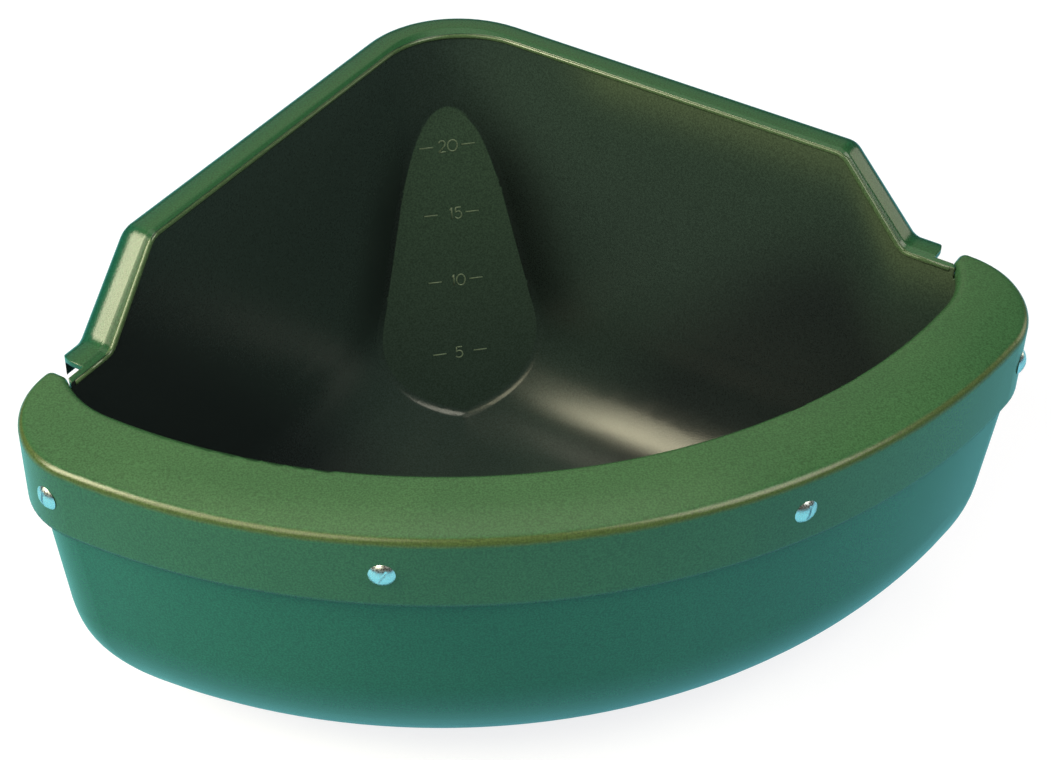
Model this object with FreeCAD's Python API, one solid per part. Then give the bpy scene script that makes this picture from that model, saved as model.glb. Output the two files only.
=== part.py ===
import FreeCAD, Part
import math
import os
from FreeCAD import Vector

# Corner manger: a moulded trough for the corner of a stall, with a separate front rim
# bolted over its front wall. Millimetres, +Z up, +Y towards the corner of the building.
# The origin is on the underside, at the middle of the overall length and width.

# Body
back_height = 262.0          # underside to the lip of the two high walls
side_height = 212.5          # underside to the low lip beside the rim
wall = 4.0                   # moulded wall thickness
side_draft = 2.5             # lean of the side walls, degrees
front_draft = 4.9            # lean of the front wall below the rim, degrees
side_floor_radius = 74.0     # outer radius where the side walls turn into the floor
front_floor_radius = 95.0    # outer radius where the front wall turns into the floor
back_corner_radius = 55.0    # inner radius of the corner at the back, at the lip
least_corner_radius = 6.0    # the back corner is never sharper than this
corner_growth = 0.35         # how fast the front corners open out towards the floor
front_axis = 57.4            # axis of the curved front, from the corner of the building
turn_steps = 8               # outlines that the round turn into the floor is drawn through

# Lip flange, which stands against the two walls of the building
flange_reach = 22.2          # wall of the building to the inner face of the body
flange_thickness = 3.5
flange_corner_radius = 68.0  # outer radius of the flange round the back corner
flange_roll = 10.0           # outer radius of the rolled edge
flange_drop = 16.0           # lip to the lower edge of the rolled edge
flange_bend = 9.0            # radius of the lip where it turns down the slope
slope_run = 44.0             # the sloping lip, measured along the wall
low_flange = 19.0            # the low lip, measured along the wall
flange_tip = 13.0            # rounding of the flange's free end, seen from above
notch = 10.8                 # open gap between the flange's end and the rim's end

# Flat panel in the back corner, which carries the measuring marks
panel_setback = 116.9        # foot of the panel from the corner of the building
panel_lean = 16.0            # degrees from upright
panel_round = 6.0            # hollow rounding between the panel and the bowl

# Front rim
skirt_radius = 393.0         # outer radius of the rim about the front axis
rim_rise = 1.5               # low lip to the rim's top
rim_height = 48.0
rim_thickness = 3.5
rim_width = 47.5             # width of the rim's top at the front, seen from above
rim_crown = 40.0             # width of the outer part of the top, which falls outward
rim_fall = 3.5               # how far it falls by the outer edge
rim_bend = 5.0               # rounding of the top's edges
rim_lip = 8.0                # depth of the turned-down inner edge
rim_corner_radius = 54.0     # outer radius of the rim's two front corners
rim_inner_corner = 60.0      # inner radius of the rim's two front corners
rim_inner_centre = 55.0      # wall of the building to the centre of that inner arc
rim_side_gap = 7.0           # wall of the building to the rim's side
rim_tail = 5.6               # straight length behind each front corner
rim_nose_round = 4.5         # rounding of the rim's two ends, seen from above
rim_clearance = 0.5          # rim to the body's walls
band_below_rim = 4.0         # upright part of the front wall that shows below the rim

# Bolts with slotted mushroom heads, washers and square nuts
bolt_drop = 26.8             # rim's top to the bolt's axis
front_bolt_angle = 16.4      # degrees either side of the middle, about the front axis
corner_bolt_angle = 54.5     # direction in which the two outer bolts face, degrees
bolt_radius = 3.0
bolt_length = 20.0
bolt_tip = 0.8               # chamfer at the bolt's end
head_radius = 7.0
head_height = 2.9
slot_width = 1.6
slot_depth = 1.3
slot_angles = (90.0, 57.0, 74.0, 35.0)   # degrees above level, from left to right
hole_radius = 3.3
washer_radius = 6.0
washer_thickness = 1.6
nut_width = 10.0
nut_thickness = 5.0
nut_chamfer = 0.8
thread_clearance = 0.05
seat_clearance = 0.2
touch = 0.01                 # points or directions closer than this count as the same

# Values that follow from the sizes above
root_half = math.sqrt(0.5)
rim_top = side_height + rim_rise
rim_bottom = rim_top - rim_height
rim_underside = rim_top - rim_thickness
front_wall_radius = skirt_radius - rim_thickness - rim_clearance
band_bottom = rim_bottom - band_below_rim
body_side = flange_reach - wall
side_lean = math.tan(math.radians(side_draft))
front_lean = math.tan(math.radians(front_draft))
back_edge = -flange_corner_radius * (math.sqrt(2.0) - 1.0)
front_edge = -(front_axis + skirt_radius)
corner_y = -0.5 * (back_edge + front_edge)


def plan_point(along, inward, side, z):
    """Point at a distance along a building wall and a distance inward from it."""
    x = side * (along - inward) * root_half
    y = corner_y - (along + inward) * root_half
    return Vector(x, y, z)


def axis_point(z):
    return Vector(0, corner_y - front_axis, z)


def facing(angle, side=1):
    """Horizontal direction, in degrees away from straight ahead."""
    turn = math.radians(angle)
    return Vector(side * math.sin(turn), -math.cos(turn), 0)


def arc(start, middle, end):
    return Part.Arc(start, middle, end).toShape()


def line(start, end):
    return Part.LineSegment(start, end).toShape()


def corner_along(inward, corner_radius, front_radius):
    """Distance along the wall to the centre of a front corner arc."""
    axis = front_axis * root_half
    reach = front_radius - corner_radius
    across = inward + corner_radius - axis
    return axis + math.sqrt(reach * reach - across * across)


def towards(start, end, distance):
    way = end.sub(start)
    return start.add(way.multiply(distance / way.Length))


def middle_of_arc(centre, start, end):
    half = start.sub(centre).add(end.sub(centre))
    return centre.add(half.multiply(start.sub(centre).Length / half.Length))


def plan_outline(z, inward, back_radius, corner_radius, front_radius):
    """Closed outline of the body at one height: two walls, the front and three corners."""
    along = corner_along(inward, corner_radius, front_radius)
    axis = axis_point(z)
    back_centre = Vector(0, corner_y - (inward + back_radius) * math.sqrt(2.0), z)
    starts = {}
    turns = {}
    fronts = {}
    centres = {}
    for side in (1, -1):
        out = Vector(side * root_half, root_half, 0)
        centres[side] = plan_point(along, inward + corner_radius, side, z)
        starts[side] = back_centre.add(Vector(out).multiply(back_radius))
        turns[side] = centres[side].add(Vector(out).multiply(corner_radius))
        fronts[side] = towards(axis, centres[side], front_radius)
    edges = [
        arc(starts[-1], back_centre.add(Vector(0, back_radius, 0)), starts[1]),
        line(starts[1], turns[1]),
        arc(turns[1], middle_of_arc(centres[1], turns[1], fronts[1]), fronts[1]),
        arc(fronts[1], axis.add(Vector(0, -front_radius, 0)), fronts[-1]),
        arc(fronts[-1], middle_of_arc(centres[-1], fronts[-1], turns[-1]), turns[-1]),
        line(turns[-1], starts[-1]),
    ]
    return Part.Wire(edges)


def side_inward(z):
    """Distance from the wall of the building to the outer face of the side wall."""
    return body_side + (back_height - z) * side_lean


def corner_radius_of_body():
    """Outer radius of the body's front corners, which leaves room inside the rim's."""
    step = side_inward(rim_bottom + 0.5 * rim_height) - rim_side_gap - rim_thickness
    return rim_corner_radius - rim_thickness - step


def floor_turn(z, floor, radius):
    """How far a wall has moved inward at a height, on its round turn into the floor."""
    below = max(0.0, floor + radius - z)
    return radius - math.sqrt(max(0.0, radius * radius - below * below))


def body_outline(z, skin):
    """Outline of the body's outer face, or of its inner face where skin is the wall."""
    side_move = side_inward(z) - body_side + floor_turn(z, skin, side_floor_radius - skin)
    front_turn = floor_turn(z, skin, front_floor_radius - skin)
    front_move = max(0.0, band_bottom - z) * front_lean + front_turn
    back_radius = max(least_corner_radius, back_corner_radius + wall - skin - side_move)
    corner_radius = corner_radius_of_body() - skin + corner_growth * front_turn
    return plan_outline(z, body_side + skin + side_move, back_radius, corner_radius,
                        front_wall_radius - skin - front_move)


def body_form(skin, top):
    """Solid bounded by the outer or the inner face of the body, from the floor up."""
    turn_top = front_floor_radius
    straight = Part.makeLoft([body_outline(z, skin) for z in (turn_top, band_bottom, top)],
                             True, True)
    wires = []
    for step in range(turn_steps + 1):
        lift = math.sin(math.radians(90.0 * step / turn_steps))
        wires.append(body_outline(turn_top - (turn_top - skin) * lift, skin))
    turn = Part.makeLoft(wires, True, False)
    return straight.fuse(turn).common(panel_side(skin))


def panel_side(skin):
    """Half space in front of the flat panel, moved back by the wall for the outer face."""
    size = 4.0 * skirt_radius
    block = Part.makeBox(size, size, size, Vector(-0.5 * size, -size, -0.5 * size))
    block.rotate(Vector(0, 0, 0), Vector(1, 0, 0), -panel_lean)
    back = (wall - skin) / math.cos(math.radians(panel_lean))
    block.translate(Vector(0, corner_y - panel_setback + back, 0))
    return block


def rim_corner_along():
    return corner_along(rim_side_gap, rim_corner_radius, skirt_radius)


def rim_end():
    """Distance along the wall to the end of the rim; the lip is laid out from it."""
    return rim_corner_along() - rim_tail


def flange_end():
    return rim_end() - notch


def lip_points(side):
    """Turning points of the lip beside one building wall, from its low end upward."""
    foot = flange_end() - low_flange
    head = foot - slope_run
    return [plan_point(flange_end(), 0, side, side_height),
            plan_point(foot, 0, side, side_height),
            plan_point(head, 0, side, back_height),
            plan_point(flange_corner_radius, 0, side, back_height)]


def lip_path():
    """Path of the flange's upper outer edge, from one low end round to the other."""
    centre = Vector(0, corner_y - flange_corner_radius * math.sqrt(2.0), back_height)
    left = rounded_path(lip_points(-1))
    right = rounded_path(lip_points(1))
    back_middle = centre.add(Vector(0, flange_corner_radius, 0))
    back = arc(lip_points(-1)[3], back_middle, lip_points(1)[3])
    return Part.Wire(left + [back] + right[::-1])


def rounded_path(points):
    """Straight edges through the points, with an arc at each inner one."""
    edges = []
    here = points[0]
    for number in range(1, len(points) - 1):
        before = points[number].sub(points[number - 1])
        after = points[number + 1].sub(points[number])
        turn = before.getAngle(after)
        cut = flange_bend * math.tan(0.5 * turn)
        first = towards(points[number], points[number - 1], cut)
        last = towards(points[number], points[number + 1], cut)
        to_centre = flange_bend / math.cos(0.5 * turn)
        bisector = first.add(last).multiply(0.5)
        centre = towards(points[number], bisector, to_centre)
        edges.append(line(here, first))
        edges.append(arc(first, towards(centre, points[number], flange_bend), last))
        here = last
    edges.append(line(here, points[-1]))
    return edges


def flange_profile(side):
    """Section of the flange at its low end: a flat top and a rolled outer edge."""
    def spot(inward, down):
        return plan_point(flange_end(), inward, side, side_height - down)
    roll = flange_roll
    inner_roll = flange_roll - flange_thickness
    bend = root_half * roll
    inner_bend = root_half * inner_roll
    inside = flange_reach + 2.0 * wall
    edges = [
        line(spot(inside, 0), spot(roll, 0)),
        arc(spot(roll, 0), spot(roll - bend, roll - bend), spot(0, roll)),
        line(spot(0, roll), spot(0, flange_drop)),
        line(spot(0, flange_drop), spot(flange_thickness, flange_drop)),
        line(spot(flange_thickness, flange_drop), spot(flange_thickness, roll)),
        arc(spot(flange_thickness, roll), spot(roll - inner_bend, roll - inner_bend),
            spot(roll, flange_thickness)),
        line(spot(roll, flange_thickness), spot(inside, flange_thickness)),
        line(spot(inside, flange_thickness), spot(inside, 0)),
    ]
    return Part.Wire(edges)


def wall_block(side, along, inward, height):
    """Block between two distances along a building wall, two inward and two heights."""
    corners = [plan_point(along[0], inward[0], side, height[0]),
               plan_point(along[1], inward[0], side, height[0]),
               plan_point(along[1], inward[1], side, height[0]),
               plan_point(along[0], inward[1], side, height[0])]
    face = Part.Face(Part.makePolygon(corners + [corners[0]]))
    return face.extrude(Vector(0, 0, height[1] - height[0]))


def lip_flange(cavity):
    sweep = Part.BRepOffsetAPI.MakePipeShell(lip_path())
    sweep.setBiNormalMode(Vector(0, 0, 1))
    sweep.add(flange_profile(-1))
    sweep.build()
    sweep.makeSolid()
    flange = sweep.shape().cut(cavity)
    for side in (1, -1):
        flange = flange.cut(tip_waste(side))
    return flange


def tip_waste(side):
    """What is rounded off the outer corner of the flange's free end."""
    end = flange_end()
    spare = 1.0
    height = (side_height - flange_drop - spare, side_height + spare)
    block = wall_block(side, (end - flange_tip, end + spare), (-spare, flange_tip), height)
    centre = plan_point(end - flange_tip, flange_tip, side, height[0])
    return block.cut(Part.makeCylinder(flange_tip, height[1] - height[0], centre))


def above_the_lip(side):
    """Space over the sloping and low parts of one side wall."""
    foot = flange_end() - low_flange
    head = foot - slope_run
    sunk = 0.5 * flange_thickness
    outside = -wall
    inside = flange_reach + 3.0 * wall
    top = back_height + 4.0 * wall
    bare = flange_end() - wall
    corners = [(0.0, back_height - sunk), (head, back_height - sunk), (foot, side_height - sunk),
               (bare, side_height - sunk), (bare, side_height), (rim_end() + notch, side_height),
               (rim_end() + notch, top), (0.0, top)]
    points = [plan_point(along, outside, side, z) for along, z in corners]
    face = Part.Face(Part.makePolygon(points + [points[0]]))
    way = plan_point(0, inside, side, 0).sub(plan_point(0, outside, side, 0))
    return face.extrude(way)


def rim_space():
    """Space over the body's walls that the rim takes up, with its clearance."""
    low = rim_top - rim_lip - rim_clearance
    return rim_block(low, back_height + wall, -wall, -rim_clearance, -rim_clearance)


def rounded_at_panel(cavity):
    """The bowl's space with the edges round the panel rounded."""
    lean = math.radians(panel_lean)
    out = Vector(0, math.cos(lean), -math.sin(lean))
    chosen = []
    for face in cavity.Faces:
        if isinstance(face.Surface, Part.Plane) and face.Surface.Axis.cross(out).Length < touch:
            chosen = chosen + face.Edges
    return cavity.makeFillet(panel_round, chosen)


def manger_body():
    cavity = rounded_at_panel(body_form(wall, back_height + 3.0 * wall))
    shell = body_form(0.0, back_height).cut(cavity)
    for side in (1, -1):
        shell = shell.cut(above_the_lip(side))
    shell = shell.cut(rim_space())
    body = shell.fuse(lip_flange(cavity))
    for bolt in bolt_places():
        body = body.cut(bolt_hole(bolt))
    return body


def rim_region(z, outer_inset, inner_inset, end_inset):
    """Plan of the rim, with its outer edge, inner edge and two ends drawn in."""
    outer_side = rim_side_gap + outer_inset
    outer_radius = skirt_radius - outer_inset
    corner_radius = rim_corner_radius - outer_inset
    inner_radius = skirt_radius - rim_width + inner_inset
    inner_corner = rim_inner_corner + inner_inset
    end = rim_end() + end_inset
    corner = rim_corner_along()
    inner = corner_along(rim_inner_centre - inner_corner, inner_corner, inner_radius)
    end_inward = rim_inner_centre - math.sqrt(inner_corner ** 2 - (end - inner) ** 2)
    axis = axis_point(z)
    fronts = {}
    inners = {}
    chains = {}
    for side in (1, -1):
        centre = plan_point(corner, outer_side + corner_radius, side, z)
        inner_centre = plan_point(inner, rim_inner_centre, side, z)
        front = towards(axis, centre, outer_radius)
        turn = plan_point(corner, outer_side, side, z)
        outer_end = plan_point(end, outer_side, side, z)
        inner_end = plan_point(end, end_inward, side, z)
        inner_front = towards(axis, inner_centre, inner_radius)
        fronts[side] = front
        inners[side] = inner_front
        chains[side] = [
            arc(front, middle_of_arc(centre, front, turn), turn),
            line(turn, outer_end),
            line(outer_end, inner_end),
            arc(inner_end, middle_of_arc(inner_centre, inner_end, inner_front), inner_front),
        ]
    outer_front = arc(fronts[-1], axis.add(Vector(0, -outer_radius, 0)), fronts[1])
    inner_arc = arc(inners[1], axis.add(Vector(0, -inner_radius, 0)), inners[-1])
    return Part.Wire([outer_front] + chains[1] + [inner_arc] + chains[-1][::-1])


def rim_block(bottom, top, outer_inset, inner_inset, end_inset):
    region = Part.Face(rim_region(bottom, outer_inset, inner_inset, end_inset))
    return region.extrude(Vector(0, 0, top - bottom))


def above_the_crown(lowered):
    """Space over the top's crowned part, or over the same surface moved down."""
    start = skirt_radius - rim_crown
    end = skirt_radius + rim_crown
    bow = (rim_crown ** 2 + rim_fall ** 2) / (2.0 * rim_fall)
    end_fall = bow - math.sqrt(bow ** 2 - (end - start) ** 2)

    def spot(radius, fall):
        return axis_point(rim_top - lowered - fall).add(Vector(radius, 0, 0))
    high = -lowered - wall
    edges = [
        arc(spot(start, 0), spot(skirt_radius, rim_fall), spot(end, end_fall)),
        line(spot(end, end_fall), spot(end, high)),
        line(spot(end, high), spot(start, high)),
        line(spot(start, high), spot(start, 0)),
    ]
    return Part.Face(Part.Wire(edges)).revolve(axis_point(0), Vector(0, 0, 1), 360)


def is_upright(edge):
    ends = [vertex.Point for vertex in edge.Vertexes]
    return len(ends) == 2 and math.hypot(ends[0].x - ends[1].x, ends[0].y - ends[1].y) < touch


def nose_edges(block):
    """Upright edges at the rim's two ends."""
    chosen = []
    for edge in block.Edges:
        point = edge.CenterOfMass
        along = (abs(point.x) - point.y + corner_y) * root_half
        if is_upright(edge) and abs(along - rim_end()) < touch:
            chosen.append(edge)
    return chosen


def top_edges(block):
    """Edges round the rim's top, without the line where its crown starts."""
    chosen = []
    for edge in block.Edges:
        low = min(vertex.Z for vertex in edge.Vertexes)
        point = edge.valueAt(0.5 * (edge.FirstParameter + edge.LastParameter))
        radius = point.sub(axis_point(point.z)).Length
        on_crown_start = abs(radius - skirt_radius + rim_crown) < touch
        if low > rim_top - rim_lip and not on_crown_start:
            chosen.append(edge)
    return chosen


def front_rim():
    spare = rim_thickness
    under = rim_bottom - spare
    rim = rim_block(rim_bottom, rim_top, 0.0, 0.0, 0.0)
    rim = rim.makeFillet(rim_nose_round, nose_edges(rim))
    rim = rim.cut(above_the_crown(0.0))
    rim = rim.makeFillet(rim_bend, top_edges(rim))
    channel = rim_block(under, rim_underside, rim_thickness, rim_thickness, -spare)
    channel = channel.cut(above_the_crown(rim_thickness))
    below_lip = rim_block(under, rim_top - rim_lip, rim_thickness, -spare, -spare)
    rim = rim.cut(channel).cut(below_lip)
    for bolt in bolt_places():
        rim = rim.cut(bolt_hole(bolt))
    return rim


def bolt_places():
    """Place of each bolt from left to right: seat, direction, and the wall it goes through."""
    z = rim_top - bolt_drop
    inward = side_inward(z)
    body_corner = corner_radius_of_body()
    body_along = corner_along(inward, body_corner, front_wall_radius)
    places = []
    for number, (side, outer) in enumerate(((-1, True), (-1, False), (1, False), (1, True))):
        if outer:
            way = facing(corner_bolt_angle, side)
            centre = plan_point(rim_corner_along(), rim_side_gap + rim_corner_radius, side, z)
            radius = rim_corner_radius
            wall_centre = plan_point(body_along, inward + body_corner, side, z)
            wall_radius = body_corner - wall
        else:
            way = facing(front_bolt_angle, side)
            centre = axis_point(z)
            radius = skirt_radius
            wall_centre = centre
            wall_radius = front_wall_radius - wall
        seat = centre.add(Vector(way).multiply(radius))
        offset = wall_centre.sub(centre)
        along = offset.dot(way)
        aside = abs(offset.cross(way).z) + washer_radius
        inside = radius - along - math.sqrt(wall_radius ** 2 - aside ** 2) + seat_clearance
        places.append({"seat": seat, "way": way, "slot": slot_angles[number],
                       "inside": inside})
    return places


def bolt_hole(bolt):
    outside = 2.0 * wall
    start = bolt["seat"].add(Vector(bolt["way"]).multiply(outside))
    return Part.makeCylinder(hole_radius, outside + bolt_length, start,
                             Vector(bolt["way"]).multiply(-1.0))


def placed(shape, bolt):
    """Fastener drawn about its own axis, moved to its place on the rim."""
    way = bolt["way"]
    right = Vector(-way.y, way.x, 0)
    turn = FreeCAD.Rotation(right, Vector(0, 0, 1), way, "ZXY")
    return shape.transformed(FreeCAD.Placement(bolt["seat"], turn).toMatrix())


def screw(bolt):
    """Bolt with a domed head and a slot; its own origin is under the head."""
    dome = (head_radius ** 2 + head_height ** 2) / (2.0 * head_height)
    ball = Part.makeSphere(dome, Vector(0, 0, head_height - dome))
    head = ball.common(Part.makeCylinder(head_radius, head_height))
    slot = Part.makeBox(4.0 * head_radius, slot_width, 2.0 * slot_depth,
                        Vector(-2.0 * head_radius, -0.5 * slot_width, head_height - slot_depth))
    slot.rotate(Vector(0, 0, 0), Vector(0, 0, 1), bolt["slot"])
    shank = Part.makeCylinder(bolt_radius, bolt_length, Vector(0, 0, -bolt_length))
    tip = [edge for edge in shank.Edges if abs(edge.BoundBox.ZMax + bolt_length) < touch]
    shank = shank.makeChamfer(bolt_tip, tip)
    return placed(head.cut(slot).fuse(shank), bolt)


def washer(bolt):
    start = Vector(0, 0, -bolt["inside"] - washer_thickness)
    disc = Part.makeCylinder(washer_radius, washer_thickness, start)
    return placed(disc.cut(Part.makeCylinder(hole_radius, washer_thickness, start)), bolt)


def square_nut(bolt):
    base = -bolt["inside"] - washer_thickness - nut_thickness
    half = 0.5 * nut_width
    block = Part.makeBox(nut_width, nut_width, nut_thickness, Vector(-half, -half, base))
    cone = Part.makeCone(half + nut_chamfer, half + nut_chamfer + 2.0 * nut_thickness,
                         nut_thickness, Vector(0, 0, base))
    bore = Part.makeCylinder(bolt_radius + thread_clearance, nut_thickness, Vector(0, 0, base))
    return placed(block.common(cone).cut(bore), bolt)


def export(name, shape):
    print(name, shape.isValid(), len(shape.Solids), round(shape.Volume, 1))
    shape.exportStep(os.path.join("parts", name + ".step"))


os.makedirs("parts", exist_ok=True)
export("manger_body", manger_body())
export("front_rim", front_rim())
for place_name, place in zip(("left_corner", "left_front", "right_front", "right_corner"),
                             bolt_places()):
    export(place_name + "_bolt", screw(place))
    export(place_name + "_washer", washer(place))
    export(place_name + "_nut", square_nut(place))
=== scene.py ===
import math

import bmesh
import bpy
from mathutils import Matrix, Vector


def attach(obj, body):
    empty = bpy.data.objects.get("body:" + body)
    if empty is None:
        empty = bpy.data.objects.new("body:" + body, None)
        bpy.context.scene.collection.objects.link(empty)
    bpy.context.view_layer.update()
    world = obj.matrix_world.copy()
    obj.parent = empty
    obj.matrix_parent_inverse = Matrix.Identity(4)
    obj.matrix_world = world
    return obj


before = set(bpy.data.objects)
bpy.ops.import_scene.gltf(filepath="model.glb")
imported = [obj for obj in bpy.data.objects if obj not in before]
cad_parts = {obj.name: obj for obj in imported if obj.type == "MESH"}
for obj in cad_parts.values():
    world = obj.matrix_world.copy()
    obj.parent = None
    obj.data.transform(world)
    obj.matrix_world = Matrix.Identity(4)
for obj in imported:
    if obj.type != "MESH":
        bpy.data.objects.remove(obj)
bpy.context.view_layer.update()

scene = bpy.context.scene
scene.view_settings.view_transform = "Standard"
print("manger frame in:", len(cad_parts), "nodes")


# camera, read off the litre marks and the two rims of the photograph
viewPoint = {
    "target": (0.0188, 0.0348, 0.1057),
    "distance": 1.3454,
    "azimuth": -14.2,
    "elevation": 39.4,
    "roll": 1.448,
    "lens": 75.61,
    "sensor": 36.0,
    "near": 0.05,
    "far": 30.0,
}


def addCamera(v):
    az, el, roll = (math.radians(v[k]) for k in ("azimuth", "elevation", "roll"))
    back = Vector((math.sin(az) * math.cos(el), -math.cos(az) * math.cos(el), math.sin(el)))
    right = (-back).cross(Vector((0, 0, 1))).normalized()
    up = right.cross(-back)
    leanRight = right * math.cos(roll) + up * math.sin(roll)
    leanUp = up * math.cos(roll) - right * math.sin(roll)
    lens = bpy.data.cameras.new("mangerView")
    lens.lens = v["lens"]
    lens.sensor_width = v["sensor"]
    lens.clip_start = v["near"]
    lens.clip_end = v["far"]
    camera = bpy.data.objects.new("mangerView", lens)
    turn = Matrix((leanRight, leanUp, back)).transposed().to_4x4()
    camera.matrix_world = Matrix.Translation(Vector(v["target"]) + back * v["distance"]) @ turn
    scene.collection.objects.link(camera)
    scene.camera = camera


addCamera(viewPoint)
print("camera placed")


# small helpers for the material trees
def addNode(tree, kind, place, **settings):
    node = tree.nodes.new(kind)
    node.location = place
    for name, value in settings.items():
        setattr(node, name, value)
    return node


def setSocket(tree, socket, value):  # stores a plain value, links another node's output
    if isinstance(value, (int, float, tuple)):
        socket.default_value = value
    else:
        tree.links.new(value, socket)


def mathNode(tree, operation, place, first, second=None):
    node = addNode(tree, "ShaderNodeMath", place, operation=operation)
    setSocket(tree, node.inputs[0], first)
    if second is not None:
        setSocket(tree, node.inputs[1], second)
    return node.outputs[0]


def vectorNode(tree, operation, place, first, second=None):
    node = addNode(tree, "ShaderNodeVectorMath", place, operation=operation)
    setSocket(tree, node.inputs[0], first)
    if second is not None:
        setSocket(tree, node.inputs["Scale"] if operation == "SCALE" else node.inputs[1], second)
    return node.outputs["Value" if operation in ("LENGTH", "DOT_PRODUCT") else "Vector"]


def splitVector(tree, place, vector):
    node = addNode(tree, "ShaderNodeSeparateXYZ", place)
    tree.links.new(vector, node.inputs[0])
    return node.outputs["X"], node.outputs["Y"], node.outputs["Z"]


def mapNode(tree, place, value, low, high, toLow=0.0, toHigh=1.0):  # soft step from low to high
    node = addNode(tree, "ShaderNodeMapRange", place, interpolation_type="SMOOTHSTEP")
    names = ("Value", "From Min", "From Max", "To Min", "To Max")
    for name, number in zip(names, (value, low, high, toLow, toHigh)):
        setSocket(tree, node.inputs[name], number)
    return node.outputs["Result"]


def mixColours(tree, place, amount, first, second, blend="MIX"):
    node = addNode(tree, "ShaderNodeMix", place, data_type="RGBA", blend_type=blend)
    factor, a, b = (node.inputs[i] for i in (0, 6, 7))
    for socket, value in ((factor, amount), (a, first), (b, second)):
        setSocket(tree, socket, value)
    return node.outputs[2]


def noiseNode(tree, place, where, settings):
    node = addNode(tree, "ShaderNodeTexNoise", place)
    tree.links.new(where, node.inputs["Vector"])
    for name, value in settings.items():
        setSocket(tree, node.inputs[name], value)
    return node.outputs["Fac"]


def startGroup(name, inputs, outputs):
    group = bpy.data.node_groups.new(name, "ShaderNodeTree")
    for title, kind, value in inputs:
        socket = group.interface.new_socket(
            name=title, in_out="INPUT", socket_type="NodeSocket" + kind
        )
        socket.default_value = value
    for title, kind in outputs:
        group.interface.new_socket(name=title, in_out="OUTPUT", socket_type="NodeSocket" + kind)
    return group, addNode(group, "NodeGroupInput", (-1700, 0)).outputs


def endGroup(group, values):
    out = addNode(group, "NodeGroupOutput", (2100, 0))
    for name, value in values.items():
        group.links.new(value, out.inputs[name])
    return group


# fine spark-eroded grain of the mould, the sink ripple of a thick wall and cloudy pigment
grainShape = {
    "scale": 950.0,
    "fine": {"Detail": 2.0, "Roughness": 0.6},
    "rippleScale": 22.0,
    "rippleShare": 0.5,
    "ripple": {"Detail": 1.0},
    "cloud": {"Scale": 9.0, "Detail": 5.0, "Distortion": 0.4},
    "noiseSpan": (0.3, 0.7),  # the part of each noise that is used
    "speckle": (0.76, 1.24),  # what the pigment is multiplied by
    "rough": (0.3, 0.4),  # unless the finish says otherwise
}


def makeMouldedGrain(g):
    group, given = startGroup(
        "mouldedGrain",
        (
            ("Grain Scale", "Float", g["scale"]),
            ("Ripple Scale", "Float", g["rippleScale"]),
            ("Ripple Share", "Float", g["rippleShare"]),
            ("Rough Low", "Float", g["rough"][0]),
            ("Rough High", "Float", g["rough"][1]),
        ),
        [(name, "Float") for name in ("Height", "Roughness", "Cloud", "Speckle")],
    )
    where = addNode(group, "ShaderNodeTexCoord", (-900, -300)).outputs["Object"]
    fine = noiseNode(group, (-650, 200), where, {"Scale": given["Grain Scale"], **g["fine"]})
    ripple = noiseNode(group, (-650, -50), where, {"Scale": given["Ripple Scale"], **g["ripple"]})
    cloud = noiseNode(group, (-650, -300), where, g["cloud"])
    wave = mathNode(group, "MULTIPLY", (-350, -50), ripple, given["Ripple Share"])
    height = mathNode(group, "ADD", (-150, 100), fine, wave)
    soft = mapNode(group, (-350, -300), cloud, *g["noiseSpan"])
    span = mathNode(group, "SUBTRACT", (-350, -500), given["Rough High"], given["Rough Low"])
    both = mathNode(group, "ADD", (-150, -150), soft, fine)
    mean = mathNode(group, "MULTIPLY", (0, -150), both, 0.5)
    lift = mathNode(group, "MULTIPLY", (150, -250), mean, span)
    rough = mathNode(group, "ADD", (300, -250), lift, given["Rough Low"])
    speckle = mapNode(group, (300, -450), fine, *g["noiseSpan"], *g["speckle"])
    return endGroup(
        group,
        {"Height": height, "Roughness": rough, "Cloud": soft, "Speckle": speckle},
    )


# zones of the bowl, in metres, for painted shade and light: painted nearly black low down at its
# ends and beside the panel
bowlShadeZones = {
    "middle": (0.0, 0.02, 0.0),  # faces turned towards it look into the bowl
    "wallFacing": (0.05, 0.35),
    "floorUp": (0.1, 0.5),  # how far up a face of the floor looks
    "floorTop": (0.14, 0.16),  # and how high it can lie
    "endRise": 0.6,  # the painted dark ends draw back by this much for each metre up
    "endSpan": (0.03, 0.10),
    "panelNormal": (0.0, -0.96127, 0.27560),
    "panelFacing": (0.980, 0.996),
    # painted shade: the panel darker towards its foot and lighter towards its head, over these
    # heights
    "panelHeights": (0.02, 0.19),
    "panelTaper": 0.225,  # half the panel's width is lost by this much for each metre up
    "creaseSpan": (0.108, 0.072),  # painted shade: dark at the panel's edge, plain farther out
    "creaseFoot": (0.045, 0.10),
    "creaseHead": (0.225, 0.15),
    "slopeSpan": (0.193, 0.228),  # where the lip slopes down
    "slopeDrop": 0.0495,
    "shoulderSpan": (0.150, 0.262),  # painted light: lighter towards the lip, on the right wall only
    "shoulderSide": (-0.02, 0.09),
}


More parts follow.
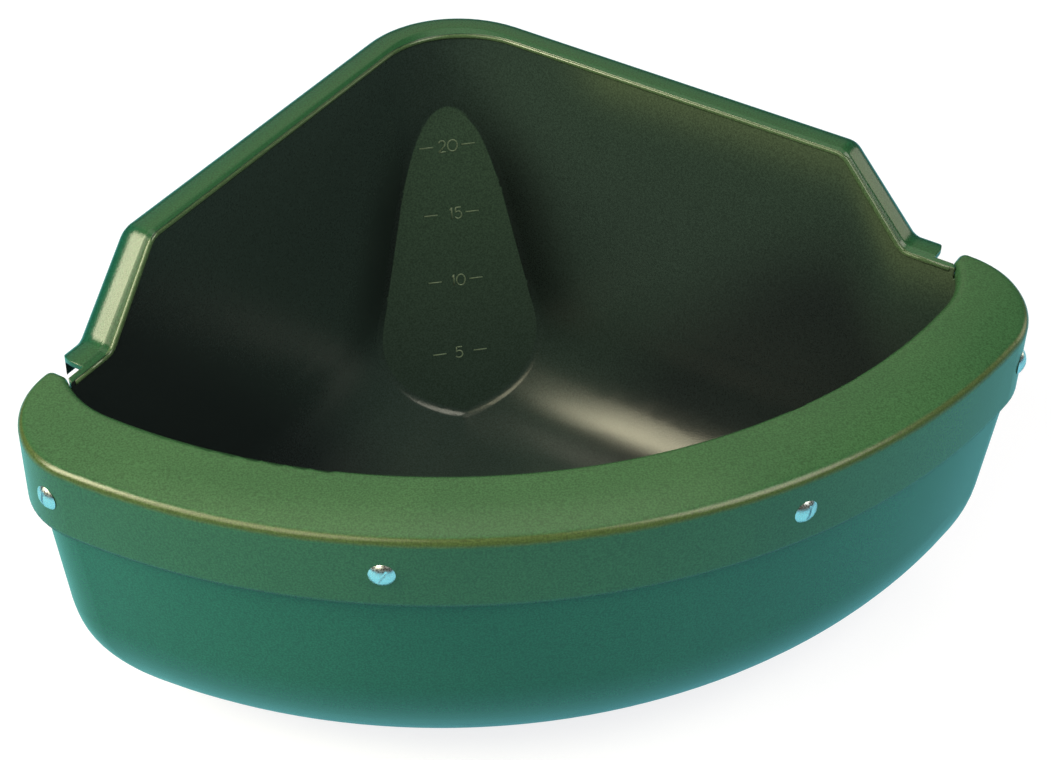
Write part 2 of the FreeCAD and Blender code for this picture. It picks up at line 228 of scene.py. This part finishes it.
def makeInsideShadeMask(b):  # Inside is 0 on the flange, the rim and the outside; the rest are zones of painted shade and painted light
    group, given = startGroup(
        "insideShadeMask",
        (
            ("Bowl Middle", "Vector", b["middle"]),
            ("Shade From", "Float", b["endSpan"][0]),
            ("Shade To", "Float", b["endSpan"][1]),
        ),
        [
            (name, "Float")
            for name in ("Inside", "Depth", "Panel", "Crease Shade", "Height", "Shoulder Light")
        ],
    )
    where = addNode(group, "ShaderNodeTexCoord", (-1500, -250)).outputs["Object"]
    normal = addNode(group, "ShaderNodeNewGeometry", (-1500, -550)).outputs["Normal"]
    x, _, z = splitVector(group, (-1100, -300), where)
    facesUp = splitVector(group, (-1100, -550), normal)[2]
    aside = mathNode(group, "ABSOLUTE", (-900, -750), x)

    toMiddle = vectorNode(group, "SUBTRACT", (-1100, 0), given["Bowl Middle"], where)
    level = vectorNode(group, "MULTIPLY", (-900, 0), toMiddle, (1.0, 1.0, 0.0))
    way = vectorNode(group, "NORMALIZE", (-700, 0), level)
    facing = vectorNode(group, "DOT_PRODUCT", (-500, 0), way, normal)
    walls = mapNode(group, (-300, 0), facing, *b["wallFacing"])
    upward = mapNode(group, (-700, -550), facesUp, *b["floorUp"])
    low = mapNode(group, (-700, -300), z, *b["floorTop"], 1.0, 0.0)
    floor = mathNode(group, "MULTIPLY", (-500, -400), upward, low)
    inside = mathNode(group, "MAXIMUM", (-100, -100), walls, floor)

    # painted shade: the bowl darker towards its ends, low down
    lift = mathNode(group, "MULTIPLY", (-700, -750), z, b["endRise"])
    outward = mathNode(group, "SUBTRACT", (-500, -750), aside, lift)
    endShade = mapNode(group, (-300, -750), outward, given["Shade From"], given["Shade To"])

    leaning = vectorNode(group, "DOT_PRODUCT", (-700, -950), normal, b["panelNormal"])
    panel = mapNode(group, (-500, -950), leaning, *b["panelFacing"])
    height = mapNode(group, (-300, -950), z, *b["panelHeights"])

    # painted shade in the creases beside the panel, above the floor and below the lip
    taper = mathNode(group, "MULTIPLY", (-700, -1150), z, b["panelTaper"])
    pastEdge = mathNode(group, "ADD", (-500, -1150), aside, taper)
    nearEdge = mapNode(group, (-300, -1150), pastEdge, *b["creaseSpan"])
    offFloor = mapNode(group, (-300, -1350), z, *b["creaseFoot"])
    underLip = mapNode(group, (-300, -1550), z, *b["creaseHead"])
    band = mathNode(group, "MULTIPLY", (-100, -1350), offFloor, underLip)
    creaseShade = mathNode(group, "MULTIPLY", (100, -1250), nearEdge, band)

    # painted light: the right wall lighter towards the lip
    drop = mapNode(group, (-700, -1750), aside, *b["slopeSpan"], 0.0, b["slopeDrop"])
    raised = mathNode(group, "ADD", (-500, -1750), z, drop)
    nearLip = mapNode(group, (-300, -1750), raised, *b["shoulderSpan"])
    side = mapNode(group, (-300, -1950), x, *b["shoulderSide"])
    shoulderLight = mathNode(group, "MULTIPLY", (-100, -1750), nearLip, side)
    return endGroup(
        group,
        {
            "Inside": inside,
            "Depth": endShade,
            "Panel": panel,
            "Crease Shade": creaseShade,
            "Height": height,
            "Shoulder Light": shoulderLight,
        },
    )


# where the rim's outer bend gets its painted reflection, an olive-brown shade, told by its lean
# and by facing away from the middle of the rim's arc
rimBendReflection = {
    "steep": 0.05,
    "flat": 0.95,
    "steepBlend": 0.25,
    "flatBlend": 0.15,
    "middle": (0.0, 0.18188, 0.214),
}


def makeBendReflectionMask(b):  # 1 on faces that lean between level and upright and look outward
    group, given = startGroup(
        "bendReflectionMask",
        (
            ("Steep", "Float", b["steep"]),
            ("Flat", "Float", b["flat"]),
            ("Middle", "Vector", b["middle"]),
        ),
        (("Bend Reflection", "Float"),),
    )
    where = addNode(group, "ShaderNodeTexCoord", (-1500, -450)).outputs["Object"]
    normal = addNode(group, "ShaderNodeNewGeometry", (-1500, -200)).outputs["Normal"]
    facesUp = splitVector(group, (-1200, -200), normal)[2]
    overSteep = mathNode(group, "SUBTRACT", (-900, 0), facesUp, given["Steep"])
    underFlat = mathNode(group, "SUBTRACT", (-900, -200), given["Flat"], facesUp)
    notSteep = mapNode(group, (-600, 0), overSteep, 0.0, b["steepBlend"])
    notFlat = mapNode(group, (-600, -200), underFlat, 0.0, b["flatBlend"])
    leaning = mathNode(group, "MULTIPLY", (-300, 0), notSteep, notFlat)
    away = vectorNode(group, "SUBTRACT", (-1200, -450), where, given["Middle"])
    facing = vectorNode(group, "DOT_PRODUCT", (-900, -450), away, normal)
    outer = mathNode(group, "GREATER_THAN", (-600, -450), facing, 0.0)
    return endGroup(group, {"Bend Reflection": mathNode(group, "MULTIPLY", (0, 0), leaning, outer)})


# the flange's top, in metres; shares run from 0 at the building's wall to 1 at the bowl's face
flangeTop = {
    "cornerY": 0.23928,  # corner of the building
    "cornerRadius": 0.068,
    "reach": 0.0222,
    "tilt": 0.5,  # how strongly the groove beside the bead turns the normal
    "grooveShare": (0.76, 0.90),
    # where the flange's painted shade turns to painted light
    "innerShare": (0.10, 0.75),
    "facesUp": (0.1, 0.5),
    "heights": (0.205, 0.208),  # it all lies above these
}


def makeLipHollow(f):  # how far in a place of the flange is, and a normal turned as by a groove
    group, given = startGroup(
        "lipHollow",
        (
            ("Corner Y", "Float", f["cornerY"]),
            ("Corner Radius", "Float", f["cornerRadius"]),
            ("Reach", "Float", f["reach"]),
            ("Tilt", "Float", f["tilt"]),
        ),
        (("Normal", "Vector"), ("On Lip", "Float"), ("Inward", "Float")),
    )
    where = addNode(group, "ShaderNodeTexCoord", (-1500, -300)).outputs["Object"]
    normal = addNode(group, "ShaderNodeNewGeometry", (-1500, -600)).outputs["Normal"]
    x, y, z = splitVector(group, (-1300, -300), where)
    aside = mathNode(group, "ABSOLUTE", (-1100, -200), x)

    # along the straight walls
    behind = mathNode(group, "SUBTRACT", (-1100, -50), given["Corner Y"], y)
    slanted = mathNode(group, "SUBTRACT", (-900, -50), behind, aside)
    straightIn = mathNode(group, "MULTIPLY", (-700, -50), slanted, math.sqrt(0.5))
    side = mathNode(group, "SIGN", (-900, -400), x)
    straightOut = addNode(group, "ShaderNodeCombineXYZ", (-700, -400))
    group.links.new(side, straightOut.inputs[0])
    straightOut.inputs[1].default_value = 1.0

    # round the back corner
    centreBack = mathNode(group, "MULTIPLY", (-1100, 150), given["Corner Radius"], math.sqrt(2.0))
    centreY = mathNode(group, "SUBTRACT", (-900, 150), given["Corner Y"], centreBack)
    fromCentre = mathNode(group, "SUBTRACT", (-700, 150), y, centreY)
    turnedOut = addNode(group, "ShaderNodeCombineXYZ", (-500, 150))
    group.links.new(x, turnedOut.inputs[0])
    group.links.new(fromCentre, turnedOut.inputs[1])
    length = vectorNode(group, "LENGTH", (-300, 250), turnedOut.outputs[0])
    turnedIn = mathNode(group, "SUBTRACT", (-100, 250), given["Corner Radius"], length)

    # one or the other
    atCorner = mathNode(group, "GREATER_THAN", (-500, 0), fromCentre, aside)
    gap = mathNode(group, "SUBTRACT", (100, 200), turnedIn, straightIn)
    part = mathNode(group, "MULTIPLY", (300, 200), gap, atCorner)
    inward = mathNode(group, "ADD", (500, 200), part, straightIn)
    share = mathNode(group, "DIVIDE", (700, 200), inward, given["Reach"])
    outward = addNode(group, "ShaderNodeMix", (-300, -200), data_type="VECTOR")
    for i, value in ((0, atCorner), (4, straightOut.outputs[0]), (5, turnedOut.outputs[0])):
        group.links.new(value, outward.inputs[i])
    unit = vectorNode(group, "NORMALIZE", (-100, -200), outward.outputs[1])

    # only on top of the flange
    facesUp = splitVector(group, (-1300, -600), normal)[2]
    onTop = mapNode(group, (-700, -600), facesUp, *f["facesUp"])
    high = mapNode(group, (-700, -800), z, *f["heights"])
    onLip = mathNode(group, "MULTIPLY", (-500, -700), onTop, high)
    groove = mapNode(group, (900, 200), share, *f["grooveShare"])
    amount = mathNode(group, "MULTIPLY", (1100, 0), groove, onLip)
    tilt = mathNode(group, "MULTIPLY", (1300, 0), amount, given["Tilt"])
    lean = vectorNode(group, "SCALE", (1500, -100), unit, tilt)
    bent = vectorNode(group, "SUBTRACT", (1700, -200), normal, lean)
    turned = vectorNode(group, "NORMALIZE", (1900, -200), bent)
    inner = mapNode(group, (1100, 400), share, *f["innerShare"])
    return endGroup(group, {"Normal": turned, "On Lip": onLip, "Inward": inner})


mouldedGrain = makeMouldedGrain(grainShape)
insideShadeMask = makeInsideShadeMask(bowlShadeZones)
lipHollow = makeLipHollow(flangeTop)
bendReflectionMask = makeBendReflectionMask(rimBendReflection)
print("node groups built")


# the body's greens: lively outside, painted light and shade teal to olive across the flange, and
# painted shade dark in the bowl, with painted light and a painted highlight on the right wall and
# painted shade in the creases
bodyFinish = {
    "outside": (0.009, 0.072, 0.038, 1.0),
    "outsideCloud": (0.012, 0.081, 0.043, 1.0),
    # painted shade and light across the flange's top: teal and darker at its outer edge, olive and
    # lighter at its inner edge
    "lipOuterShade": (0.003, 0.054, 0.038, 1.0),
    "lipInnerLit": (0.014, 0.063, 0.028, 1.0),
    # painted shade: the bowl's inside darker and greyer than the outside, darker still at its ends
    "insideMiddleShade": (0.021, 0.036, 0.034, 1.0),
    "insideEndsShade": (0.011, 0.016, 0.018, 1.0),
    # painted light on the right wall, towards the lip
    "shoulderLight": (0.022, 0.040, 0.034, 1.0),
    # painted highlight: a light olive sheen along the top of the right wall
    "browHighlight": (0.050, 0.075, 0.048, 1.0),
    "browHighlightPower": 12.0,  # the painted highlight keeps to the top of the painted light on the shoulder
    # painted shade in the creases beside the panel
    "creaseShade": (0.010, 0.016, 0.016, 1.0),
    # painted shade and light: the panel darker at its foot, lighter at its head
    "panelFoot": (0.023, 0.040, 0.035, 1.0),
    "panelHead": (0.033, 0.062, 0.045, 1.0),
    "roughLow": 0.20,
    "roughHigh": 0.28,
    "bump": 0.00006,
    "softEdge": 0.0016,
}
rimFinish = {
    "green": (0.024, 0.076, 0.034, 1.0),
    "cloud": (0.028, 0.085, 0.037, 1.0),
    # bend: painted reflection, an olive-brown shade on the rim's outer bend
    "bend": (0.048, 0.076, 0.026, 1.0),
    "roughLow": 0.20,
    "roughHigh": 0.28,
    "bump": 0.00006,
    "softEdge": 0.0035,
}
specularLevel = 0.4
edgeSamples = 8


def startMaterial(name):
    material = bpy.data.materials.new(name)
    material.use_nodes = True
    tree = material.node_tree
    tree.nodes.clear()
    shader = addNode(tree, "ShaderNodeBsdfPrincipled", (400, 0))
    shader.inputs["Specular IOR Level"].default_value = specularLevel
    out = addNode(tree, "ShaderNodeOutputMaterial", (750, 0))
    tree.links.new(shader.outputs[0], out.inputs[0])
    return material, tree, shader


def addGrain(tree, finish, shader):
    grain = addNode(tree, "ShaderNodeGroup", (-500, -200), node_tree=mouldedGrain)
    grain.inputs["Rough Low"].default_value = finish["roughLow"]
    grain.inputs["Rough High"].default_value = finish["roughHigh"]
    softEdge = addNode(tree, "ShaderNodeBevel", (-50, -400), samples=edgeSamples, name="softEdge")
    softEdge.inputs["Radius"].default_value = finish["softEdge"]
    bump = addNode(tree, "ShaderNodeBump", (150, -300))
    bump.inputs["Distance"].default_value = finish["bump"]
    tree.links.new(grain.outputs["Height"], bump.inputs["Height"])
    tree.links.new(softEdge.outputs["Normal"], bump.inputs["Normal"])
    tree.links.new(bump.outputs["Normal"], shader.inputs["Normal"])
    tree.links.new(grain.outputs["Roughness"], shader.inputs["Roughness"])
    return grain.outputs


def colourPlastic(tree, grain, colour, shader):  # pigment, a little uneven from grain to grain
    speckled = mixColours(tree, (250, 150), 1.0, colour, grain["Speckle"], "MULTIPLY")
    tree.links.new(speckled, shader.inputs["Base Color"])


def makeBodyPlastic(f):
    material, tree, shader = startMaterial("mouldedGreenBody")
    grain = addGrain(tree, f, shader)
    mask = addNode(tree, "ShaderNodeGroup", (-900, 250), node_tree=insideShadeMask).outputs
    flange = addNode(tree, "ShaderNodeGroup", (-700, -450), node_tree=lipHollow).outputs
    tree.links.new(flange["Normal"], tree.nodes["softEdge"].inputs["Normal"])
    plain = mixColours(tree, (-350, 200), grain["Cloud"], f["outside"], f["outsideCloud"])
    # painted shade and light across the flange: teal outside, olive inside
    lip = mixColours(tree, (-350, 400), flange["Inward"], f["lipOuterShade"], f["lipInnerLit"])
    outer = mixColours(tree, (-100, 250), flange["On Lip"], plain, lip)
    # painted shade: the bowl's walls darker than the outside, darker still at the ends
    walls = mixColours(tree, (-650, 0), mask["Depth"], f["insideMiddleShade"], f["insideEndsShade"])
    # painted light: the right wall lighter towards the lip
    shoulderLit = mixColours(tree, (-500, 0), mask["Shoulder Light"], walls, f["shoulderLight"])
    # painted highlight: a lighter olive sheen at the top of the right wall
    atLip = mathNode(tree, "POWER", (-650, 450), mask["Shoulder Light"], f["browHighlightPower"])
    browHighlighted = mixColours(tree, (-350, 0), atLip, shoulderLit, f["browHighlight"])
    # painted shade: dark in the creases beside the panel
    creaseShaded = mixColours(tree, (-200, 0), mask["Crease Shade"], browHighlighted, f["creaseShade"])
    # painted shade and light: the panel darker at its foot, lighter at its head
    panel = mixColours(tree, (-350, -150), mask["Height"], f["panelFoot"], f["panelHead"])
    inner = mixColours(tree, (-50, 0), mask["Panel"], creaseShaded, panel)
    colourPlastic(tree, grain, mixColours(tree, (100, 150), mask["Inside"], outer, inner), shader)
    return material


def makePlastic(name, f):
    material, tree, shader = startMaterial(name)
    grain = addGrain(tree, f, shader)
    plain = mixColours(tree, (-100, 100), grain["Cloud"], f["green"], f["cloud"])
    # painted reflection: the finish's bend colour laid on the outer bend
    bend = addNode(tree, "ShaderNodeGroup", (-300, 300), node_tree=bendReflectionMask).outputs["Bend Reflection"]
    colourPlastic(tree, grain, mixColours(tree, (50, 150), bend, plain, f["bend"]), shader)
    return material


zincFinish = {
    "bright": (0.74, 0.78, 0.82, 1.0),
    "dull": (0.50, 0.54, 0.60, 1.0),
    "roughLow": 0.16,
    "roughHigh": 0.34,
    "spangleScale": 900.0,
    "spangleSpan": (0.0, 0.8),
    "scratch": {"Scale": 1400.0, "Detail": 4.0},
    "bump": 0.00002,
}


def makeZinc(f):
    material, tree, shader = startMaterial("zincPlatedSteel")
    shader.inputs["Metallic"].default_value = 1.0
    where = addNode(tree, "ShaderNodeTexCoord", (-800, 0)).outputs["Object"]
    spangle = addNode(tree, "ShaderNodeTexVoronoi", (-600, 100))
    spangle.inputs["Scale"].default_value = f["spangleScale"]
    tree.links.new(where, spangle.inputs["Vector"])
    scratch = noiseNode(tree, (-600, -200), where, f["scratch"])
    colour = mixColours(tree, (-100, 100), scratch, f["bright"], f["dull"])
    tree.links.new(colour, shader.inputs["Base Color"])
    far = spangle.outputs["Distance"]
    rough = mapNode(tree, (-100, -100), far, *f["spangleSpan"], f["roughLow"], f["roughHigh"])
    tree.links.new(rough, shader.inputs["Roughness"])
    bump = addNode(tree, "ShaderNodeBump", (150, -300))
    bump.inputs["Distance"].default_value = f["bump"]
    tree.links.new(scratch, bump.inputs["Height"])
    tree.links.new(bump.outputs["Normal"], shader.inputs["Normal"])
    return material


def dress(node, material):
    node.data.materials.clear()
    node.data.materials.append(material)


mouldings = {
    "manger_body": makeBodyPlastic(bodyFinish),
    "front_rim": makePlastic("mouldedGreenRim", rimFinish),
}
zinc = makeZinc(zincFinish)
for nodeName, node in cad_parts.items():
    dress(node, mouldings.get(nodeName, zinc))
print("nodes dressed")


# strokes, swept as round beads and joined into one piece for each mark
def arcPoints(middle, radii, fromDegrees, toDegrees, count):
    points = []
    for i in range(count + 1):
        a = math.radians(fromDegrees + (toDegrees - fromDegrees) * i / count)
        points.append((middle[0] + radii[0] * math.cos(a), middle[1] + radii[1] * math.sin(a)))
    return points


def sweepStroke(mesh, points, radius, outward):  # closed where the line's ends meet
    sides, samePlace = 8, 1e-6
    closed = (points[0] - points[-1]).length < samePlace
    if closed:
        points = points[:-1]
    rings = []
    for i, point in enumerate(points):
        before = points[i - 1] if closed or i else point
        after = points[(i + 1) % len(points)] if closed or i + 1 < len(points) else point
        way = (after - before).normalized()
        across = way.cross(outward).normalized()
        away = across.cross(way)
        rings.append([
            mesh.verts.new(point + (across * math.cos(a) + away * math.sin(a)) * radius)
            for a in (math.tau * k / sides for k in range(sides))
        ])
    for i in range(len(rings) if closed else len(rings) - 1):
        first, second = rings[i], rings[(i + 1) % len(rings)]
        for k in range(sides):
            beside = (k + 1) % sides
            mesh.faces.new((first[k], first[beside], second[beside], second[k]))
    if not closed:
        mesh.faces.new(rings[0][::-1])
        mesh.faces.new(rings[-1])


def finishPiece(name, mesh):
    bmesh.ops.recalc_face_normals(mesh, faces=mesh.faces)
    data = bpy.data.meshes.new(name)
    mesh.to_mesh(data)
    mesh.free()
    data.shade_smooth()
    piece = bpy.data.objects.new(name, data)
    scene.collection.objects.link(piece)
    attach(piece, "root")
    return piece


# raised litre marks on the leaning panel; along the row and up the panel in mm, the rest in metres
litreMarks = {
    "panelFoot": 0.12238,  # y of the panel's face at z = 0
    "panelRun": 0.2867,  # how far it goes back for each metre up
    "strokeRadius": 0.00042,
    "digitHeight": 7.4,
    "rows": (  # each digit with its left edge and its width
        {"label": "20", "height": 0.1868, "digits": (("2", -6.6, 4.5), ("0", -0.7, 6.2))},
        {"label": "15", "height": 0.1434, "digits": (("1", -2.6, 2.6), ("5", 1.2, 4.6))},
        {"label": "10", "height": 0.0994, "digits": (("1", -3.9, 2.6), ("0", -0.2, 5.6))},
        {"label": "5", "height": 0.0508, "digits": (("5", -3.8, 4.8),)},
    ),
    "dashes": ((-18.7, -10.0), (8.3, 16.9)),
}
digitStrokes = {  # each digit in a box 1 wide and 1 high
    "0": [arcPoints((0.5, 0.5), (0.5, 0.5), 0, 360, 28)],
    "1": [[(0.30, 0.80), (0.75, 1.0)], [(0.75, 1.03), (0.75, 0.0)]],
    "2": [
        arcPoints((0.5, 0.70), (0.46, 0.30), 165, -28, 16) + [(0.02, 0.0)],
        [(0.0, 0.0), (1.0, 0.0)],
    ],
    "5": [
        [(0.92, 1.0), (0.16, 1.0)],
        [(0.18, 1.0), (0.10, 0.56)],
        [(0.10, 0.56)] + arcPoints((0.46, 0.33), (0.50, 0.33), 128, -148, 20),
    ],
}
# painted highlight: the marks paler than the panel, as if their ridges caught the light
markHighlightFinish = {
    "green": (0.10, 0.15, 0.10, 1.0),
    "cloud": (0.12, 0.17, 0.12, 1.0),
    "bend": (0.11, 0.16, 0.11, 1.0),
    "roughLow": 0.30,
    "roughHigh": 0.42,
    "bump": 0.00002,
    "softEdge": 0.0001,
}
millimetre = 0.001


def onPanel(marks, x, v, height):
    lean = math.hypot(1.0, marks["panelRun"])
    z = height + v * millimetre / lean
    return Vector((x * millimetre, marks["panelFoot"] + marks["panelRun"] * z, z))


def addMarkRow(marks, row):
    mesh = bmesh.new()
    lines = [[(left, 0.0), (right, 0.0)] for left, right in marks["dashes"]]
    for digit, left, width in row["digits"]:
        for stroke in digitStrokes[digit]:
            lines.append([(left + u * width, (v - 0.5) * marks["digitHeight"]) for u, v in stroke])
    away = Vector((0.0, -1.0, marks["panelRun"])).normalized()
    for line in lines:
        points = [onPanel(marks, x, v, row["height"]) for x, v in line]
        sweepStroke(mesh, points, marks["strokeRadius"], away)
    return finishPiece("litreMark" + row["label"], mesh)


markHighlightPlastic = makePlastic("mouldedGreenMarkHighlight", markHighlightFinish)
for row in litreMarks["rows"]:
    dress(addMarkRow(litreMarks, row), markHighlightPlastic)
print("litre marks raised")


# bead along the inner edge of the lip, from the rim on one side round to the rim on the other
lipBead = {
    "cornerY": 0.23928,  # corner of the building
    "radius": 0.0018,
    "inward": 0.0214,  # wall of the building to the bead's middle at the high lip
    "draft": 0.0437,  # how far the bowl's face comes inward for each metre down
    "cornerRadius": 0.0558,
    "highLip": 0.262,
    "lowLip": 0.2125,
    "rimEnd": 0.3734,  # distances along the wall of the building
    "foot": 0.3436,
    "head": 0.2996,
    "bend": 0.005,
    "bendSteps": 4,
    "cornerDegrees": (129, 45, -6),
}
# painted highlight: the bead paler than the body, as if it caught the light
beadHighlightFinish = {
    "green": (0.050, 0.090, 0.045, 1.0),
    "cloud": (0.056, 0.098, 0.050, 1.0),
    "bend": (0.050, 0.090, 0.045, 1.0),
    "roughLow": 0.10,
    "roughHigh": 0.15,
    "bump": 0.00001,
    "softEdge": 0.0002,
}


def beadPoint(b, side, along, lip):
    z = lip - b["radius"]
    inward = b["inward"] + (b["highLip"] - z) * b["draft"]
    half = math.sqrt(0.5)
    return Vector((side * (along - inward) * half, b["cornerY"] - (along + inward) * half, z))


def easeCorner(b, before, corner, after):  # a soft turn in place of a sharp one
    first = corner + (before - corner).normalized() * b["bend"]
    last = corner + (after - corner).normalized() * b["bend"]
    steps = [i / b["bendSteps"] for i in range(b["bendSteps"] + 1)]
    return [first.lerp(corner, t).lerp(corner.lerp(last, t), t) for t in steps]


def beadSide(b, side):  # from the rim up to the start of the back corner
    straight = b["inward"] + b["cornerRadius"]
    rim = beadPoint(b, side, b["rimEnd"], b["lowLip"])
    foot = beadPoint(b, side, b["foot"], b["lowLip"])
    head = beadPoint(b, side, b["head"], b["highLip"])
    back = beadPoint(b, side, straight, b["highLip"])
    return [rim] + easeCorner(b, rim, foot, head) + easeCorner(b, foot, head, back) + [back]


def addBead(b):
    left, right = beadSide(b, -1), beadSide(b, 1)
    z = b["highLip"] - b["radius"]
    centre = Vector((0.0, b["cornerY"] - (b["inward"] + b["cornerRadius"]) * math.sqrt(2.0), z))
    turns = [math.radians(a) for a in range(*b["cornerDegrees"])]
    corner = [centre + Vector((math.cos(a), math.sin(a), 0.0)) * b["cornerRadius"] for a in turns]
    mesh = bmesh.new()
    sweepStroke(mesh, left + corner + right[::-1], b["radius"], Vector((0.0, 0.0, 1.0)))
    return finishPiece("lipBead", mesh)


dress(addBead(lipBead), makePlastic("mouldedGreenBeadHighlight", beadHighlightFinish))
print("lip bead swept")


# plain pale floor and a soft studio
studio = {
    "floorSize": 6.0,
    "floorCells": 4,
    "floorDrop": 0.0004,  # keeps it clear of the manger's underside
    "paperRough": 0.85,
    "paperSeen": (0.24, 0.25, 0.28, 1.0),  # what the camera sees
    "paperSeenGlow": (0.80, 0.80, 0.82, 1.0),
    "paperFar": (0.0, 0.0, 0.0, 1.0),
    "paperFarGlow": (1.0, 1.0, 1.0, 1.0),
    "paperFade": (0.5, 2.0),  # distances over which near turns to far
    "paperFelt": (0.10, 0.32, 0.40, 1.0),  # what lights the manger from below
    "paperFeltGlow": (0.13, 0.40, 0.50, 1.0),
    "skyColour": (1.0, 0.90, 0.66, 1.0),
    "skyWay": (0.0, 0.75, 0.66),
    "skySpan": (0.84, 0.97),
    "skyDark": 0.08,
    "skyBright": 0.60,
    "backdropColour": (1.0, 1.0, 1.0, 1.0),
    "lampsAround": (0.0, 0.0, 0.12),
    "lamps": (
        # name, direction it hangs in, distance, width, height, watts, colour
        ("overheadBox", (0.0, 0.15, 1.0), 1.7, 1.2, 1.2, 6.0, (1.0, 0.93, 0.74)),
        ("leftBox", (-0.62, -0.35, 0.70), 1.7, 1.7, 1.0, 31.0, (1.0, 0.93, 0.64)),
        ("slopeBox", (-0.79, -0.09, 0.61), 1.7, 0.5, 0.95, 22.0, (1.0, 0.93, 0.64)),
        ("farBox", (0.97, 0.14, 0.24), 1.7, 0.55, 0.6, 2.8, (1.0, 0.94, 0.70)),
        ("rightBox", (0.51, -0.46, 0.72), 1.7, 0.85, 1.0, 17.0, (1.0, 0.96, 0.80)),
    ),
}


def addFloor(s):
    mesh = bmesh.new()
    cells = s["floorCells"]
    bmesh.ops.create_grid(mesh, x_segments=cells, y_segments=cells, size=s["floorSize"] / 2)
    data = bpy.data.meshes.new("studioFloor")
    mesh.to_mesh(data)
    mesh.free()
    floor = bpy.data.objects.new("studioFloor", data)
    floor.location.z = -s["floorDrop"]
    scene.collection.objects.link(floor)
    material, tree, shader = startMaterial("palePaper")
    shader.inputs["Roughness"].default_value = s["paperRough"]
    shader.inputs["Emission Strength"].default_value = 1.0
    seen = addNode(tree, "ShaderNodeLightPath", (-300, 0)).outputs["Is Camera Ray"]
    where = addNode(tree, "ShaderNodeTexCoord", (-900, -200)).outputs["Object"]
    away = vectorNode(tree, "LENGTH", (-700, -200), where)
    fade = mapNode(tree, (-500, -200), away, *s["paperFade"])
    paperSeen = mixColours(tree, (-300, 250), fade, s["paperSeen"], s["paperFar"])
    glowSeen = mixColours(tree, (-300, -300), fade, s["paperSeenGlow"], s["paperFarGlow"])
    paper = mixColours(tree, (0, 150), seen, s["paperFelt"], paperSeen)
    glow = mixColours(tree, (0, -150), seen, s["paperFeltGlow"], glowSeen)
    tree.links.new(paper, shader.inputs["Base Color"])
    tree.links.new(glow, shader.inputs["Emission Color"])
    dress(floor, material)


def addSky(s):  # bright in one direction, and plain white to the camera
    world = bpy.data.worlds.new("softSky")
    world.use_nodes = True
    tree = world.node_tree
    sky = tree.nodes["Background"]
    sky.inputs["Color"].default_value = s["skyColour"]
    way = addNode(tree, "ShaderNodeTexCoord", (-700, 0)).outputs["Generated"]
    along = vectorNode(tree, "DOT_PRODUCT", (-500, 0), way, s["skyWay"])
    strength = mapNode(tree, (-250, 0), along, *s["skySpan"], s["skyDark"], s["skyBright"])
    tree.links.new(strength, sky.inputs["Strength"])
    backdrop = addNode(tree, "ShaderNodeBackground", (0, -200))
    backdrop.inputs["Color"].default_value = s["backdropColour"]
    seen = addNode(tree, "ShaderNodeLightPath", (0, 300))
    pick = addNode(tree, "ShaderNodeMixShader", (250, 0))
    tree.links.new(seen.outputs["Is Camera Ray"], pick.inputs[0])
    tree.links.new(sky.outputs[0], pick.inputs[1])
    tree.links.new(backdrop.outputs[0], pick.inputs[2])
    tree.links.new(pick.outputs[0], tree.nodes["World Output"].inputs[0])
    scene.world = world


def addLamps(s):
    for name, direction, distance, width, height, watts, colour in s["lamps"]:
        lamp = bpy.data.lights.new(name, "AREA")
        lamp.shape = "RECTANGLE"
        lamp.size = width
        lamp.size_y = height
        lamp.energy = watts
        lamp.color = colour
        holder = bpy.data.objects.new(name, lamp)
        way = Vector(direction).normalized()
        holder.location = Vector(s["lampsAround"]) + way * distance
        holder.rotation_mode = "QUATERNION"
        holder.rotation_quaternion = (-way).to_track_quat("-Z", "Y")
        scene.collection.objects.link(holder)


addFloor(studio)
addSky(studio)
addLamps(studio)
print("studio lit")
